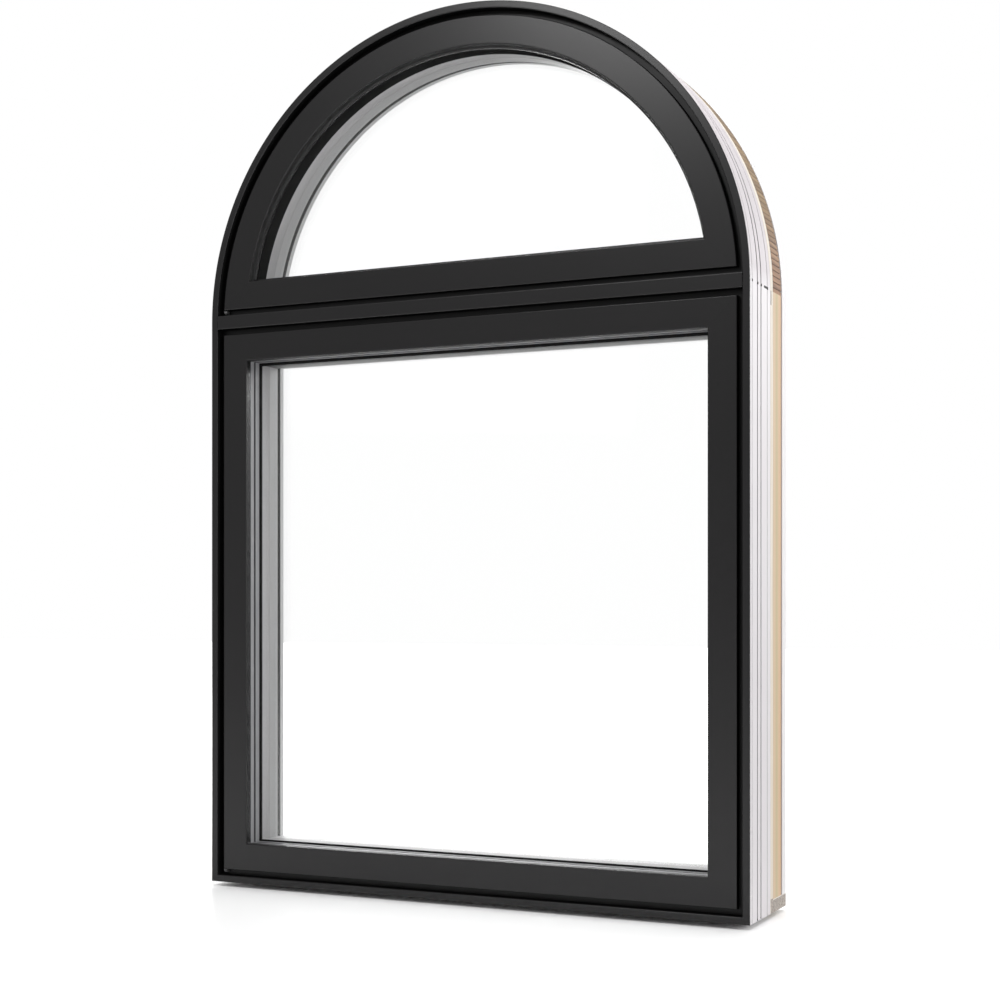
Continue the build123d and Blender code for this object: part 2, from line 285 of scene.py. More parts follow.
def skin(name, lengths, replaced):
    """Closed mesh of one or more lengths. A length is a grid of points, its normals and its run coordinates.

    Each grid has the outline along its first axis and the stations of the path along its second. Neighbouring
    points make quads, and the two end rings are closed by one face each.
    """
    all_points, all_runs, all_faces, all_normals = [], [], [], []
    offset = 0
    for points, normals, runs in lengths:
        around, stations = points.shape[:2]
        number = np.arange(around * stations).reshape(around, stations)
        following = np.roll(number, -1, axis=0)
        quads = np.stack([number[:, :-1], following[:, :-1], following[:, 1:], number[:, 1:]], -1)
        quads = quads.reshape(-1, 4)
        flat = points.reshape(-1, 3)
        first, second, third, _ = quads[::7].T
        face_normal = np.cross(flat[second] - flat[first], flat[third] - flat[first])
        if np.sum(face_normal * normals.reshape(-1, 3)[first]) < 0:
            quads = quads[:, ::-1]
            first_cap, last_cap = number[:, 0], number[::-1, -1]
        else:
            first_cap, last_cap = number[::-1, 0], number[:, -1]
        for cap in (first_cap, last_cap):
            ring = flat[cap]
            normal = np.cross(ring, np.roll(ring, -1, axis=0)).sum(0)
            normal /= np.linalg.norm(normal)
            all_faces.append((cap + offset).tolist())
            all_normals.append(np.repeat(normal[None], len(cap), 0))
        all_faces.extend((quads + offset).tolist())
        all_normals.append(normals.reshape(-1, 3)[quads.reshape(-1)])
        all_points.append(flat)
        all_runs.append(runs.reshape(-1, 3))
        offset += around * stations
    mesh = bpy.data.meshes.new(name)
    mesh.from_pydata(np.concatenate(all_points), [], all_faces)
    mesh.update()
    mesh.shade_smooth()
    mesh.normals_split_custom_set(np.concatenate(all_normals).tolist())
    run = mesh.attributes.new("run", "FLOAT_VECTOR", "POINT")
    run.data.foreach_set("vector", np.concatenate(all_runs).astype(np.float32).reshape(-1))
    piece = bpy.data.objects.new(name, mesh)
    bpy.context.scene.collection.objects.link(piece)
    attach(piece, "root")
    if replaced:
        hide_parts(*replaced)
    return piece


def straight(outline, foot, inward, along, start, end, shift=0.0):
    """Length of a section along a straight line, in stations from start to end.

    The start and the end are numbers or functions of the inset. The shift moves the pattern along the piece.
    """
    points, normals = outline
    foot, inward, along = np.array(foot, float), np.array(inward, float), np.array(along, float)
    depthwise = np.array([0.0, 1.0, 0.0])
    inset, depth = points[:, :1], points[:, 1:]
    first = np.broadcast_to(start(inset) if callable(start) else start, inset.shape)
    last = np.broadcast_to(end(inset) if callable(end) else end, inset.shape)
    station = first + (last - first) * np.linspace(0.0, 1.0, 13)[None, :]
    grid = foot + inset[..., None] * inward + depth[..., None] * depthwise + station[..., None] * along
    normal = normals[:, 0, None, None] * inward + normals[:, 1, None, None] * depthwise
    runs = np.stack([station + shift, inset + 0 * station, depth + 0 * station], -1)
    return grid, np.broadcast_to(normal, grid.shape), runs


def turned(outline, foot_angle=None, steps=160):
    """Length of a section through the half round. The angle at each end may depend on the outline's points."""
    points, normals = outline
    inset, depth = points[:, :1], points[:, 1:]
    first = foot_angle(points) if foot_angle else np.zeros(inset.shape)
    angle = first + (math.pi - 2 * first) * np.linspace(0.0, 1.0, steps + 1)[None, :]
    radius = half_width - inset
    across, up = np.cos(angle), np.sin(angle)
    grid = np.stack([radius * across, front + depth + 0 * angle, spring_height + radius * up], -1)
    normal = np.stack([-normals[:, :1] * across, normals[:, 1:] + 0 * angle, -normals[:, :1] * up], -1)
    runs = np.stack([angle * half_width, inset + 0 * angle, depth + 0 * angle], -1)
    return grid, normal, runs


def saw_cut(outer, inner):
    """Mitre where the half round meets its foot: a straight cut from the outer to the inner corner.

    Each corner at inset i lies at x = sqrt(R squared - 2 R i). A radius r meets the line x + b z = c at the angle
    atan(b) - acos(c / (r sqrt(1 + b squared))). Returned: that angle and the line's x, both by inset.
    """
    outer_x = math.sqrt(half_width**2 - 2 * half_width * outer * mm)
    inner_x = math.sqrt(half_width**2 - 2 * half_width * inner * mm)
    slope = (outer_x - inner_x) / ((inner - outer) * mm)
    reach = outer_x + slope * outer * mm

    def angle(points):
        radius = half_width - points[:, :1]
        return math.atan(slope) - np.arccos(reach / (radius * math.hypot(1.0, slope))) + hairline / radius

    def end_x(inset):
        return reach - slope * inset - hairline

    return angle, end_x


def mirrored(length, shift=0.0):
    """The same length on the other side of the window."""
    points, normals, runs = length
    flip = np.array([-1.0, 1.0, 1.0])
    return points * flip, normals * flip, runs + np.array([shift, 0.0, 0.0])


def upright(outline, mitred_foot=True, mitred_top=True, top=None):
    """A left and a right length, from the sill's mitre up to the head's mitre, or to a given height."""
    start = (lambda inset: inset + hairline) if mitred_foot else 0.0
    end = (lambda inset: spring_height - inset - hairline) if mitred_top else top
    left = straight(outline, (-half_width, front, 0), (1, 0, 0), (0, 0, 1), start, end)
    return [left, mirrored(left, 1.7)]


def level(outline, height, inward, shift=0.0):
    """A length across the lower unit, mitred at both ends."""
    def end(inset):
        return half_width - inset - hairline

    start = (0, front, height)
    return straight(outline, start, (0, 0, inward), (1, 0, 0), lambda inset: -end(inset), end, shift)


def foot_rail(outline, end, shift=0.0):
    """A length across the foot of the half round, cut at both ends as the arch is."""
    foot = (0, front, spring_height)
    return straight(outline, foot, (0, 0, 1), (1, 0, 0), lambda inset: -end(inset), end, shift)


def wood(name, direction, pale, dark, ring_gap, contrast, heart, **surface):
    """Sawn softwood. Growth rings are rounds about a heart line beside the board, drawn out along the grain.

    direction names the axis that the grain follows: run for a bent or swept piece, x or z for a straight one.
    """
    material, wire = finish(name, **surface)
    if direction == "run":
        place = wire.node("Attribute", {"attribute_name": "run"}, {}, "Vector")
        order = "XYZ"
    else:
        place = wire.on_object()
        order = "XZY" if direction == "x" else "ZXY"
    split = [place.axis(letter) for letter in order]
    slow = place.node("CombineXYZ", {}, {0: split[0] * 1.6, 1: split[1] * 9.0, 2: split[2] * 9.0})
    wander = place.node("TexNoise", {}, {"Vector": slow, "Scale": 1.0, "Detail": 2.0}) - 0.5
    away = place.node("CombineXYZ", {}, {0: 0.0, 1: split[1] - heart[0], 2: split[2] - heart[1]})
    radius = place.node("VectorMath", {"operation": "LENGTH"}, {0: away}, "Value") + wander * 0.02
    turns = radius / ring_gap
    late = turns.maths("FRACT", turns) ** 3.0
    fine = place.node("CombineXYZ", {}, {0: split[0] * 18.0, 1: split[1] * 700.0, 2: split[2] * 700.0})
    fibre = place.node("TexNoise", {}, {"Vector": fine, "Scale": 1.0, "Detail": 3.0})
    coarse = place.node("CombineXYZ", {}, {0: split[0] * 1.1, 1: split[1] * 90.0, 2: split[2] * 90.0})
    streak = place.node("TexNoise", {}, {"Vector": coarse, "Scale": 1.0, "Detail": 1.0})
    tone = (late * contrast + (fibre - 0.5) * 0.5 + (streak - 0.5) * 0.8 + 0.18).clamp()
    relief = fibre * 0.5 + late * 0.35
    bump = place.node("Bump", {}, {"Strength": 0.35, "Distance": 0.15 * mm, "Height": relief}, "Normal")
    feed(material, Normal=bump, Roughness=fibre * 0.2 + 0.55)
    return material, tone.mix(pale, dark), split


def dress(material, *nodes):
    """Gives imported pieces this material."""
    for node in nodes:
        for place_in_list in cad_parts[node].material_slots:
            place_in_list.material = material


pale_pine = colour(236, 229, 219)
pine_grain = colour(212, 196, 172)
end_pale, end_dark = colour(196, 187, 178), colour(126, 116, 109)


def end_grain(across, at_least):
    """Mask of the sawn end faces and the speckled tone of their pores."""
    pores = across.node("TexNoise", {}, {
        "Vector": across.on_object(), "Scale": 480.0, "Detail": 3.0, "Roughness": 0.7})
    spread = pores.node("MapRange", {}, {"Value": pores, "From Min": 0.34, "From Max": 0.66})
    return across.absolute() > at_least, spread.mix(end_dark, end_pale)


for name, direction, nodes in (
    ("pine_upright", "z", ("frame_core_jambs",)),
    ("pine_sill", "x", ("frame_core_sill",)),
    ("pine_head", "x", ("frame_core_head", "arch_core_sill")),
):
    material, tone, split = wood(name, direction, pale_pine, pine_grain, 3.1 * mm, 0.5, (0.02, -0.09))
    if direction == "x":
        ends, end_tone = end_grain(split[0], half_width - 0.3 * mm)
        shown = split[2] > front + 66.0 * mm if name == "pine_sill" else split[2] < front + 68.2 * mm
        tone = (ends * shown).mix(tone, end_tone)
    feed(material, Base_Color=tone)
    dress(material, *nodes)

shell_wall, shell_depth, core_depth = 2.4, 65.0, 73.0
pocket_depth, frame_thickness, heel = 12.0, 12.0, 13.5
bent_pine, tone, _ = wood("pine_bent", "run", pale_pine, pine_grain, 3.1 * mm, 0.5, (0.03, 0.10))
feed(bent_pine, Base_Color=tone)
core_outline = rounded([
    (shell_wall, pocket_depth + shell_wall, 0.2),
    (frame_thickness, pocket_depth + shell_wall, 0.3),
    (frame_thickness, shell_depth, 0.2),
    (heel, shell_depth, 0.3),
    (heel, core_depth, 0.3),
    (0.0, core_depth, 0.4),
    (0.0, shell_depth, 0.3),
    (shell_wall, shell_depth, 0.2),
])
arch_core = skin("arch_core_bent", [turned(core_outline)], ["arch_core"])
arch_core.data.materials.append(bent_pine)

# ----------------------------------------------------------------------------------------------------------
# Ribbed shell. White vinyl extrusion over the pine, with two deep and two shallow grooves along it, cut and
# welded at the corners. Its front return closes the pocket behind the black cap and carries the
# weatherstrip.
vinyl, wire = finish("white_vinyl", Specular_IOR_Level=0.3)
run = wire.node("Attribute", {"attribute_name": "run"}, {}, "Vector")
along, inset_in, depth_in = [run.axis(letter) for letter in "XYZ"]
draw_lines = run.node("TexNoise", {}, {
    "Vector": run.node("CombineXYZ", {}, {0: along * 0.8, 1: inset_in * 900.0, 2: depth_in * 900.0}),
    "Scale": 1.0, "Detail": 2.0})
cloudy = run.node("TexNoise", {}, {"Vector": run, "Scale": 7.0, "Detail": 3.0})
vinyl_tone = (cloudy * 0.7 + draw_lines * 0.3).mix(colour(233, 230, 232), colour(226, 221, 224))
bump = run.node("Bump", {}, {"Strength": 0.2, "Distance": 0.03 * mm, "Height": draw_lines}, "Normal")
height = run.on_object().axis("Z")
sunk = (inset_in > 0.35 * mm) * (inset_in < 2.3 * mm)
slot_start, slot_end = 44.0, 57.0
in_slot = (depth_in > slot_start * mm) * (depth_in < slot_end * mm)
by_groove = (depth_in - 8.0 * mm).absolute() < 1.6 * mm
for centre in (24.6, 35.4):
    by_groove = by_groove + ((depth_in - centre * mm).absolute() < 2.2 * mm)
at_joint = (height > spring_height - 0.9 * mm) * (height < spring_height + 1.5 * mm)
# Painted shade: the open ends of the grooves at the foot and at the joint of the units are painted near black.
at_foot = sunk * (height < 2.2 * mm)
open_end_shade = (at_foot + (in_slot + by_groove) * at_joint * (inset_in < 2.0 * mm)).clamp()
# Painted shade: the groove bottoms are painted grey.
painted_groove_shade = (sunk * 0.55).mix(vinyl_tone, colour(128, 126, 128))
# Over the half round the shell's tone is multiplied darker, starting a little above the joint.
above_joint_share = height.node("MapRange", {}, {
    "Value": height, "From Min": spring_height - 2.0 * mm, "From Max": spring_height + 16.0 * mm})
arch_darkened_tone = above_joint_share.node("Mix", {"data_type": "RGBA", "blend_type": "MULTIPLY"}, {
    0: above_joint_share, 6: painted_groove_shade, 7: colour(232, 229, 230)}, 2)
shell_tone = open_end_shade.mix(arch_darkened_tone, colour(30, 28, 29))
feed(vinyl, Base_Color=shell_tone, Roughness=cloudy * 0.12 + 0.46, Normal=bump)


def ribbed(extra=(), marks=()):
    """Outline of the shell: a thin wall with grooves, and the front return.

    A groove has its first and last depth in the frame and how far it is cut in. Marks are more corners.
    """
    wall = list(marks)
    grooves = ((7.0, 8.4, 0.7), (22.6, 25.4, 1.8), (33.4, 36.4, 1.8), (54.0, 55.6, 0.7)) + extra
    for start, end, depth in grooves:
        wall += [(0.0, start, 0.3), (depth, start + 0.1, 0.25), (depth, end - 0.1, 0.25), (0.0, end, 0.3)]
    corners = [
        (shell_wall, shell_depth, 0.3),
        (shell_wall, pocket_depth + shell_wall, 0.4),
        (frame_thickness, pocket_depth + shell_wall, 0.3),
        (frame_thickness, pocket_depth, 0.4),
        (5.5, pocket_depth, 0.2),
        (5.5, 1.6, 0.2),
        (0.0, 1.6, 0.2),
    ]
    return rounded(corners + sorted(wall, key=lambda corner: corner[1]) + [(0.0, shell_depth, 0.35)])


shell_outline = ribbed()
shell_mitre, shell_end = saw_cut(0.0, frame_thickness)


def notched_foot(points):
    """Mitre angle, raised where the grooves and the drain slot leave the joint of the units open."""
    inset, depth = points[:, :1] / mm, points[:, 1:] / mm
    in_slot = (inset < 1.0) & (depth > slot_start - 0.05) & (depth < slot_end + 0.05)
    in_groove = (inset > 0.3) & (inset < 2.0)
    return shell_mitre(points) + (0.9 * in_slot + 1.7 * (in_groove & ~in_slot)) * mm / half_width


slot_edges = (slot_start - 0.15, slot_start, slot_end, slot_end + 0.15)
slotted_outline = ribbed((), [(0.0, depth, 0.0) for depth in slot_edges])
for name, lengths, nodes in (
    ("shell_jambs", upright(shell_outline), ["frame_shell_jambs"]),
    ("shell_sill", [level(shell_outline, 0.0, 1)], ["frame_shell_sill"]),
    ("shell_head", [level(shell_outline, spring_height, -1, 0.9)], ["frame_shell_head"]),
    ("shell_arch", [turned(slotted_outline, notched_foot)], ["arch_shell"]),
    ("shell_arch_sill", [foot_rail(ribbed(((44.0, 52.0, 0.7),)), shell_end, 2.3)], ["arch_shell_sill"]),
):
    skin(name, lengths, nodes).data.materials.append(vinyl)

# ----------------------------------------------------------------------------------------------------------
# Black cap. Roll-formed aluminium with a satin black powder coat, clipped over the weather edge of the
# frame. It is a thin channel with a rounded face, mitred at the lower corners, and the arch is stretch-
# formed.
black_coat, wire = finish("satin_black_coat", Roughness=0.25, Specular_IOR_Level=0.2)
film = wire.noise(7.0, 2.0)
specks = (wire.noise(2600.0, 1.0) > 0.78) * 0.05
coat_tone = (film * 0.9 + specks).clamp().mix(colour(26, 25, 26), colour(31, 30, 31))
peel = {"Strength": 0.05, "Distance": 0.02 * mm, "Height": wire.noise(900.0, 1.0)}
bump = wire.node("Bump", {}, peel, "Normal")
feed(black_coat, Base_Color=coat_tone, Roughness=film * 0.05 + 0.235, Normal=bump)

cap_face, cap_leg, cap_sheet = 7.0, 1.5, 1.6
cap_outline = rounded([
    (0.0, 0.0, 0.9),
    (cap_face, 0.0, 0.9),
    (cap_face, pocket_depth, 0.25),
    (cap_face - cap_leg, pocket_depth, 0.25),
    (cap_face - cap_leg, cap_sheet, 0.4),
    (0.0, cap_sheet, 0.3),
])


def cloudy_black(name, gloss, cloud, tones, roughness):
    """Matt black with a cloudy tone: the cloud's scale and detail, its display tones and its roughness."""
    material, wire = finish(name, Specular_IOR_Level=gloss)
    film = wire.noise(*cloud)
    darkest, lightest = [colour(tone, tone, tone) for tone in tones]
    smoothest, roughest = roughness
    roughening = film * (roughest - smoothest) + smoothest
    feed(material, Base_Color=film.mix(darkest, lightest), Roughness=roughening)
    return material


shade_black = cloudy_black("shaded_black_coat", 0.0, (40.0, 3.0), (16, 30), (0.6, 0.8))


def inlay(piece, material, chosen):
    """Gives one more material to the faces whose middle is chosen by its inset and depth, in millimetres."""
    mesh = piece.data
    mesh.materials.append(material)
    run = np.empty(len(mesh.vertices) * 3, np.float32)
    mesh.attributes["run"].data.foreach_get("vector", run)
    corners = np.empty(len(mesh.loops), np.int32)
    mesh.loops.foreach_get("vertex_index", corners)
    starts = np.empty(len(mesh.polygons), np.int32)
    mesh.polygons.foreach_get("loop_start", starts)
    sides = np.diff(np.append(starts, len(corners)))
    middle = np.add.reduceat(run.reshape(-1, 3)[corners], starts) / sides[:, None] / mm
    held = np.empty(len(mesh.polygons), np.int32)
    mesh.polygons.foreach_get("material_index", held)
    held[chosen(middle[:, 1], middle[:, 2])] = len(mesh.materials) - 1
    mesh.polygons.foreach_set("material_index", held)


cover_low, cover_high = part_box("mull_cover")
jamb_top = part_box("frame_cap_jambs")[1].z
cover_outline = rounded([
    (-cap_face, 0.0, 0.9),
    (cap_face, 0.0, 0.9),
    (cap_face, pocket_depth, 0.25),
    (cap_face - cap_leg, pocket_depth, 0.25),
    (cap_face - cap_leg, cap_sheet, 0.4),
    (cap_leg - cap_face, cap_sheet, 0.4),
    (cap_leg - cap_face, pocket_depth, 0.25),
    (-cap_face, pocket_depth, 0.25),
])
for name, lengths, node in (
    ("arch_cap_formed", [turned(cap_outline)], "arch_cap"),
    ("cap_jambs_formed", upright(cap_outline, True, False, jamb_top), "frame_cap_jambs"),
    ("cap_sill_formed", [level(cap_outline, 0.0, 1)], "frame_cap_sill"),
    ("mull_cover_formed", [straight(cover_outline, (0, front, spring_height), (0, 0, 1), (1, 0, 0),
                                    cover_low.x, cover_high.x)], "mull_cover"),
):
    strip = skin(name, lengths, [node])
    strip.data.materials.append(black_coat)
    inlay(strip, shade_black, lambda inset, depth: (abs(inset) > cap_face - 0.1) & (depth > 1.2))

strip_coat = cloudy_black("gap_strip_coat", 0.12, (40.0, 3.0), (10, 20), (0.3, 0.4))
dress(strip_coat, "lower_weatherstrip", "arch_weatherstrip")

# ----------------------------------------------------------------------------------------------------------
# Sash. The same satin black over a hollow profile, 28 mm wide in the face, set back a little in the frame
# with a shadow gap all round. The corners are mitred and welded, and the arrises are rounded. In the arch
# sash's reveal a stepped lip stands further in, with a groove behind it.
sash_outer, sight, sash_front = 13.0, 41.0, 2.8
rebate, glazing_face, gasket_start, clad_end = 30.0, 31.0, 27.6, 11.6
lower_sash = rounded([
    (sash_outer, sash_front, 1.0),
    (sight, sash_front, 1.0),
    (sight, clad_end, 0.3),
    (rebate, clad_end, 0.2),
    (rebate, glazing_face, 0.2),
    (sash_outer, glazing_face, 0.4),
])
ledge, ledge_front, groove = 43.5, 9.2, 12.4
arch_sash = rounded([
    (sash_outer, sash_front, 1.0),
    (sight, sash_front, 1.3),
    (sight + 0.5, ledge_front - 1.7, 1.5),
    (sight + 1.3, ledge_front - 0.3, 0.9),
    (ledge, ledge_front + 0.2, 0.5),
    (ledge, groove, 0.15),
    (ledge - 1.6, groove + 0.1, 0.1),
    (ledge - 1.6, groove + 0.9, 0.1),
    (ledge, groove + 1.0, 0.15),
    (ledge + 0.6, gasket_start, 0.3),
    (rebate, gasket_start, 0.2),
    (rebate, glazing_face, 0.2),
    (sash_outer, glazing_face, 0.4),
])
sash_angle, sash_end = saw_cut(sash_outer, ledge)
# Painted shade: the reveals get duller copies of the same black coat, with little or no gloss, so they read as in
# shade.
shaded_reveal_coat = cloudy_black("shaded_reveal_black_coat", 0.13, (20.0, 2.0), (25, 35), (0.4, 0.5))
shaded_reveal_wall = cloudy_black("shaded_reveal_wall_coat", 0.0, (20.0, 2.0), (33, 41), (0.5, 0.6))
lower_rails = [level(lower_sash, 0.0, 1), level(lower_sash, spring_height, -1, 0.9)]
for name, lengths, nodes in (
    ("sash_stiles_clad", upright(lower_sash), ["sash_stiles"]),
    ("sash_rails_clad", lower_rails, ["sash_rails"]),
    ("sash_arch_clad", [turned(arch_sash, sash_angle)], ["arch_sash"]),
    ("sash_arch_rail_clad", [foot_rail(arch_sash, sash_end)], ["arch_sash_rail"]),
):
    member = skin(name, lengths, nodes)
    member.data.materials.append(black_coat)
    past_arris = sash_front + 1.2
    inlay(member, shade_black, lambda inset, depth: (inset < sash_outer + 0.1) & (depth > past_arris))
    if name != "sash_stiles_clad":
        inlay(member, shaded_reveal_coat, lambda inset, depth: (
            (inset > sight - 0.1) & (depth > past_arris) & (depth < ledge_front - 0.4)))
    # Painted shade: the arch reveal's wall is matt, and its groove is matt black.
    if "arch" in name:
        inlay(member, shaded_reveal_wall, lambda inset, depth: (inset > sight) & (depth > groove - 0.1))
        inlay(member, shade_black, lambda inset, depth: (
            (inset > sight) & (depth > groove - 0.1) & (depth < groove + 1.1)))

# ----------------------------------------------------------------------------------------------------------
# Setting shims. A small grey plastic pad in the shadow gap under the left corner of each sash, pushed in to
# square it in the frame. Its light grey is partly painted highlight, for the glint caught in that corner.
shim_glint_plastic, wire = finish("grey_shim_glint_plastic", Roughness=0.35)
feed(shim_glint_plastic, Base_Color=wire.noise(300.0, 2.0).mix(colour(84, 84, 85), colour(150, 150, 151)))
shim_outline = rounded([(9.6, 6.2, 0.3), (12.9, 4.6, 0.8), (12.9, 9.6, 0.3), (9.6, 9.6, 0.3)])
shim_start, shim_length = (sash_outer - 1.0) * mm - half_width, 3.6 * mm
for unit, sill_height in (("lower", 0.0), ("arch", spring_height)):
    pad = straight(shim_outline, (0, front, sill_height), (0, 0, 1), (1, 0, 0), shim_start,
                   shim_start + shim_length)
    shim = skin(f"{unit}_setting_shim", [pad], [])
    shim.data.materials.append(shim_glint_plastic)

# ----------------------------------------------------------------------------------------------------------
# Glazing beads of the lower unit. Mid grey vinyl in the weather-side reveal, snapped in after the pane,
# with one groove along them. They are butted at the corners.
# Painted shade: the rails get a darker copy of the same vinyl than the stiles, and the groove is painted darker.
for name, land, line, node in (
    ("grey_bead_stiles", 151, 84, "glazing_bead_stiles"),
    ("grey_bead_rails_shaded", 125, 74, "glazing_bead_rails"),
):
    bead_vinyl, wire = finish(name, Specular_IOR_Level=0.3)
    haze = wire.noise(60.0, 3.0)
    behind_face = wire.on_object().axis("Y") - front
    shaded_groove = (behind_face > 17.2 * mm) * (behind_face < 20.6 * mm)
    land_tone = haze.mix(colour(land - 5, land - 5, land - 3), colour(land, land, land + 2))
    bead_tone = shaded_groove.mix(land_tone, colour(line, line, line + 2))
    feed(bead_vinyl, Base_Color=bead_tone, Roughness=haze * 0.04 + 0.4)
    dress(bead_vinyl, node)

# ----------------------------------------------------------------------------------------------------------
# Glazing gaskets. Extruded black rubber, pressed as a lip between the outer pane and the bead or the arch
# sash. Under the head of the lower unit it hangs a little below the bead, so that drips fall clear.
rubber, wire = finish("black_rubber", Specular_IOR_Level=0.1)
bloom = wire.noise(140.0, 5.0)
bump = wire.node("Bump", {}, {"Strength": 0.25, "Distance": 0.05 * mm, "Height": bloom}, "Normal")
rubber_tone = bloom.mix(colour(7, 7, 7), colour(16, 16, 16))
feed(rubber, Base_Color=rubber_tone, Normal=bump, Roughness=bloom * 0.2 + 0.55)
dress(rubber, "lower_glazing_gasket", "arch_glazing_gasket")
lip_outline = rounded([(41.2, 28.4, 0.1), (43.7, 28.4, 0.6), (43.7, 31.0, 0.3), (41.2, 31.0, 0.1)])
lip_end = half_width - 42.0 * mm
drip_lip = straight(lip_outline, (0, front, spring_height), (0, 0, -1), (1, 0, 0), -lip_end, lip_end)
skin("head_gasket_lip", [drip_lip], []).data.materials.append(rubber)

# ----------------------------------------------------------------------------------------------------------
# Panes and edge spacer. Two sheets of clear float glass a unit, 9 mm apart on a grey spacer that is sealed
# round the edge. Each surface mirrors 3.5 parts in a hundred square on and nearly all at a graze, and is
# clear otherwise.
pane_glass, wire = finish("clear_pane", Base_Color=(0.96, 0.98, 0.97, 1.0), Roughness=0.02, Metallic=1.0)
slant = wire.node("LayerWeight", {}, {"Blend": 0.5}, "Facing")
feed(pane_glass, Alpha=(slant ** 5.0 * 0.9 + 0.035).clamp())


def sheet(name, corners, start, end, replaced):
    """Flat sheet: a convex outline in the plane of the window, carried from one depth to another."""
    edge = np.roll(corners, -1, axis=1) - np.roll(corners, 1, axis=1)
    edge /= np.linalg.norm(edge, axis=0)
    depth = np.array([[start, end]]) * mm
    (across, up), (edge_across, edge_up) = corners[:, :, None] + 0 * depth, edge[:, :, None] + 0 * depth
    grid = np.stack([across, front + depth + 0 * across, up], -1)
    normal = np.stack([edge_up, 0 * edge_up, -edge_across], -1)
    pane = skin(name, [(grid, normal, grid)], replaced)
    pane.data.materials.append(pane_glass)


glass_sight, air_front, air_back, glazing_back = 42.3, 34.0, 43.0, 46.0
foot = (glass_sight - 0.1) * mm
edge, head = half_width - foot, spring_height - foot
square_pane = np.array([[-edge, edge, edge, -edge], [foot, foot, head, head]])
corner_angle = math.asin(foot / edge)
sweep_angle = np.linspace(corner_angle, math.pi - corner_angle, 161)
round_pane = np.stack([edge * np.cos(sweep_angle), spring_height + edge * np.sin(sweep_angle)])
for unit, corners in (("lower", square_pane), ("arch", round_pane)):
    sheet(f"{unit}_pane_weather", corners, glazing_face, air_front, [f"{unit}_glass_outer"])
    sheet(f"{unit}_pane_room", corners, air_back, glazing_back, [f"{unit}_glass_inner"])


def painted_head_shade(wire):
    """Mask of the narrow face that looks down under the lower unit's head, where shade is painted darker."""
    above = wire.on_object().axis("Z") - spring_height
    return (above + glass_sight * mm).absolute() < 0.35 * mm


spacer_foam, wire = finish("spacer_foam", Roughness=0.5, Specular_IOR_Level=0.2)
foam_tone = wire.noise(500.0, 2.0).mix(colour(180, 179, 180), colour(192, 191, 192))
# Painted shade: the spacer is a darker grey on the face under the lower unit's head.
feed(spacer_foam, Base_Color=painted_head_shade(wire).mix(foam_tone, colour(112, 112, 112)))
spacer_outer = 32.0
spacer_outline = rounded([
    (spacer_outer, glazing_face, 0.2),
    (glass_sight, glazing_face, 0.3),
    (glass_sight, glazing_back, 0.1),
    (spacer_outer, glazing_back, 0.2),
])
spacer_mitre, spacer_end = saw_cut(spacer_outer, glass_sight)
spacer_rails = [level(spacer_outline, 0.0, 1), level(spacer_outline, spring_height, -1)]
arch_lengths = [turned(spacer_outline, spacer_mitre), foot_rail(spacer_outline, spacer_end)]
for name, lengths, nodes in (
    ("lower_spacer", upright(spacer_outline) + spacer_rails, ["lower_glass_spacer"]),
    ("arch_spacer", arch_lengths, ["arch_glass_spacer"]),
):
    skin(name, lengths, nodes).data.materials.append(spacer_foam)

# ----------------------------------------------------------------------------------------------------------
# Sash liner and stop. The room side of the sash is satin white vinyl, and after a narrow gap, whose far face
# on the stop is painted near black as shade, a white stop of the same section runs round both units.
liner_vinyl, wire = finish("satin_white_liner", Roughness=0.35, Specular_IOR_Level=0.4)
haze = wire.noise(14.0, 4.0)
bump = wire.node("Bump", {}, {"Strength": 0.1, "Distance": 0.03 * mm, "Height": haze}, "Normal")
# The liner is a little greyer than the stop: partly its own tone, partly painted shade inside the opening.
liner_tone = haze.mix(colour(208, 208, 208), colour(198, 198, 199))
# Painted shade: the liner is darker on the face under the lower unit's head.
liner_tone = painted_head_shade(wire).mix(liner_tone, colour(122, 122, 122))
feed(liner_vinyl, Base_Color=liner_tone, Normal=bump, Roughness=haze * 0.12 + 0.3)
dress(liner_vinyl, "sash_liner_stiles", "sash_liner_rails", "arch_sash_liner_rail")
stop_vinyl, wire = finish("satin_white_stop", Specular_IOR_Level=0.4)
stop_front = 68.0
haze = wire.noise(14.0, 4.0)
# Painted shade: the stop's face toward the gap is painted near black.
gap_face_shade = wire.on_object().axis("Y") < front + (stop_front + 0.25) * mm
stop_tone = haze.mix(colour(228, 228, 228), colour(219, 219, 220))
feed(stop_vinyl, Base_Color=gap_face_shade.mix(stop_tone, colour(17, 17, 17)), Roughness=haze * 0.12 + 0.32)
dress(stop_vinyl, "room_stop_stiles", "room_stop_rails", "arch_room_stop_rail")
sash_back = 62.8
liner_outline = rounded([
    (sash_outer, glazing_face, 0.3),
    (rebate, glazing_face, 0.2),
    (rebate, glazing_back, 0.2),
    (glass_sight, glazing_back, 0.4),
    (glass_sight, sash_back - 2.0, 0.8),
    (glass_sight - 2.0, sash_back, 0.8),
    (sash_outer, sash_back, 0.6),
])
stop_outline = rounded([
    (heel, stop_front, 0.3),
    (sight, stop_front, 0.5),
    (sight, 74.2, 0.6),
    (sight - 1.2, 75.4, 0.6),
    (heel, 75.4, 0.3),
])
liner_angle, _ = saw_cut(sash_outer, glass_sight)
stop_angle, _ = saw_cut(heel, sight)
liner_arch = skin("liner_arch", [turned(liner_outline, liner_angle)], ["arch_sash_liner"])
liner_arch.data.materials.append(liner_vinyl)
stop_arch = skin("stop_arch", [turned(stop_outline, stop_angle)], ["arch_room_stop"])
stop_arch.data.materials.append(stop_vinyl)

